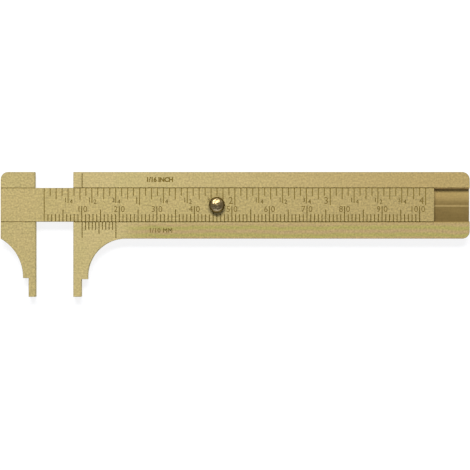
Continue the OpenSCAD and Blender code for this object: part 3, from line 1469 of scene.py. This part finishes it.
@dataclass
class ThumbButton:
    """Domed button on the bar's face, with its stem riveted under the bar."""

    datum: Datum
    rack: FinishRack
    diameter: float = 4.25
    foot_h: float = 1.15
    foot_break: float = 0.1
    rim_r: float = 0.35
    stem_d: float = 1.6
    stem_tail_d: float = 2.4
    stem_tail_h: float = 0.4
    dent_size: float = 0.6
    dent_depth: float = 0.16
    dent_place: tuple[float, float, float] = (8.5, 8.3, 38.9)

    def profile(self) -> list[Vector]:
        """Draws half of the button's section, from the stem's tail up to the top.

        Returns:
            Points as radius and height.
        """
        face, under, r = self.datum.thickness, self.datum.underside, self.diameter / 2
        dome_h = self.datum.button_top - face - self.foot_h
        dome_r = (dome_h**2 + r**2) / (2 * dome_h)
        centre = Vector((0, self.datum.button_top - dome_r))
        slim, wide, ease = self.stem_d / 2, self.stem_tail_d / 2, self.foot_break
        foot = ((0, under), (wide, under), (slim, under + self.stem_tail_h), (slim, face))
        foot += ((r - ease, face), (r, face + ease))
        inset = r - self.rim_r
        rise = math.sqrt((dome_r - self.rim_r) ** 2 - inset**2)
        lean = math.degrees(math.atan2(rise, inset))
        rim = arc(centre + Vector((inset, rise)), self.rim_r, 0, lean)
        dome = arc(centre, dome_r, lean, 90)
        dome[-1].x = 0
        return [Vector(point) for point in foot] + rim[:-1] + dome

    def build(self) -> Object:
        """Builds the button and sets it in place.

        Returns:
            The finished piece.
        """
        button_x = self.datum.button_x
        piece = turned("button_dome", self.profile(), button_x, 0, self.rack.button)
        self._dent(piece)
        return self.datum.place(piece, Body.SLIDE, "thumb_button", Slot.BUTTON)

    def _dent(self, piece: Object) -> None:
        """Dents the dome as years of knocks do, less towards its rim.

        Args:
            piece: The button.
        """
        rim = Vector((self.datum.button_x, 0, self.datum.thickness + self.foot_h))
        for vert in piece.data.vertices:
            place = vert.co - rim
            share = min(max(place.z / self.rim_r, 0.0), 1.0)
            wave = noise.noise(place / self.dent_size + Vector(self.dent_place))
            vert.co.z -= share * self.dent_depth * (1 + wave) / 2


@dataclass
class HiddenHardware:
    """Pins, rivet and leaf spring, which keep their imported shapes."""

    rack: FinishRack

    def dress(self) -> list[str]:
        """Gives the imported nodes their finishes.

        Returns:
            Names of the dressed nodes.
        """
        finishes = {
            "jaw_pins": self.rack.filed,
            "stop_pin": self.rack.filed,
            "spring_rivet": self.rack.filed,
            "drag_spring": self.rack.bronze,
        }
        for node, finish in finishes.items():
            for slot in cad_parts[node].material_slots:
                slot.material = finish
        return list(finishes)


@dataclass(frozen=True)
class Softbox:
    """Soft lamp that hangs beside the caliper and faces it."""

    name: str
    azimuth: float
    elevation: float
    distance: float
    size: tuple[float, float]
    power: float
    colour: Colour = WHITE

    def hang(self) -> None:
        """Puts the lamp in the scene."""
        data = bpy.data.lights.new(self.name, "AREA")
        data.shape = "RECTANGLE"
        data.size, data.size_y = self.size
        data.energy = self.power
        data.color = self.colour
        turn, lift = math.radians(self.azimuth), math.radians(self.elevation)
        level = math.cos(lift)
        aim = Vector((math.cos(turn) * level, math.sin(turn) * level, math.sin(lift)))
        lamp = link_object(self.name, data)
        lamp.location = aim * self.distance
        lamp.rotation_euler = aim.to_track_quat("Z", "Y").to_euler()


@dataclass
class Studio:
    """Camera above the face, pale floor, two softboxes and a world that dims overhead, in metres."""

    centre: tuple[float, float] = (-0.00005, -0.000155)
    face: float = 0.003
    distance: float = 0.5
    sensor: float = 36.0
    lens: float = 143.77
    floor_size: float = 6.0
    floor_drop: float = 0.00002
    floor_grey: float = 0.12
    floor_roughness: float = 0.9
    floor_glow: float = 0.85
    horizon: float = 0.5
    zenith: float = 0.2
    zenith_height: float = 0.8
    softboxes: tuple[Softbox, ...] = (
        Softbox("long_softbox", 94.0, 50.0, 1.5, (1.2, 0.4), 43.5, (0.985, 1.0, 1.04)),
        Softbox("front_card", 270.0, 28.0, 1.2, (2.0, 0.25), 6.0, (0.85, 0.95, 1.35)),
    )

    def build(self) -> None:
        """Builds the camera, the lamps, the world and the floor."""
        bpy.context.scene.view_settings.view_transform = "Standard"
        self._camera()
        for softbox in self.softboxes:
            softbox.hang()
        self._world()
        self._floor()

    def _camera(self) -> None:
        """Sets the camera above the face, with +Y up in the picture."""
        data = bpy.data.cameras.new("portrait_camera")
        data.sensor_width = self.sensor
        data.lens = self.lens
        camera = link_object("portrait_camera", data)
        camera.location = (*self.centre, self.face + self.distance)
        bpy.context.scene.camera = camera

    def _world(self) -> None:
        """Makes a world that is pale at the horizon and dim overhead."""
        world = bpy.data.worlds.new("studio_world")
        world.use_nodes = True
        bpy.context.scene.world = world
        sheet = NodeSheet(world.node_tree)
        way = sheet.add("ShaderNodeTexCoord").outputs["Generated"]
        levels = self.horizon, self.zenith
        level = sheet.remap(sheet.axes(way)[Axis.Z], (0.0, self.zenith_height), levels, smooth=True)
        looks = {"Color": opaque(WHITE), "Strength": level}
        sheet.feed(world.node_tree.nodes["Background"], looks)

    def _floor(self) -> None:
        """Lays the pale floor, which keeps a soft shadow."""
        half = self.floor_size / 2
        shape = bmesh.new()
        corners = ((-half, -half), (half, -half), (half, half), (-half, half))
        shape.faces.new([shape.verts.new((*corner, -self.floor_drop)) for corner in corners])
        material, sheet, shader = blank_material("pale_floor")
        path = sheet.add("ShaderNodeLightPath").outputs
        seen = sheet.math("MAXIMUM", path["Is Camera Ray"], path["Is Glossy Ray"])
        seen = sheet.math("MAXIMUM", seen, path["Is Transmission Ray"])
        looks = {
            "Base Color": opaque((self.floor_grey,) * 3),
            "Roughness": self.floor_roughness,
            "Emission Color": opaque(WHITE),
            "Emission Strength": sheet.remap(seen, (0.0, 1.0), (0.0, self.floor_glow)),
        }
        sheet.feed(shader, looks)
        from_bmesh("studio_floor", shape, material)


def main() -> None:
    """Builds the studio and the pieces in order, and reports each one."""
    logging.basicConfig(level=logging.INFO, format="%(message)s")
    Studio().build()
    datum = Datum.from_frame()
    section = SlideSection()
    rack = FinishRack(datum.centre_line, datum.thickness, datum.button_top)
    makers = (
        BodyPlate(datum, section, rack),
        MovingHead(datum, section, rack),
        ScaleBar(datum, section, rack),
        ThumbButton(datum, rack),
    )
    for maker in makers:
        piece = maker.build()
        LOG.info("%s: %d faces", piece.name, len(piece.data.polygons))
    for node in HiddenHardware(rack).dress():
        LOG.info("%s: dressed", node)


if __name__ == "__main__":
    main()
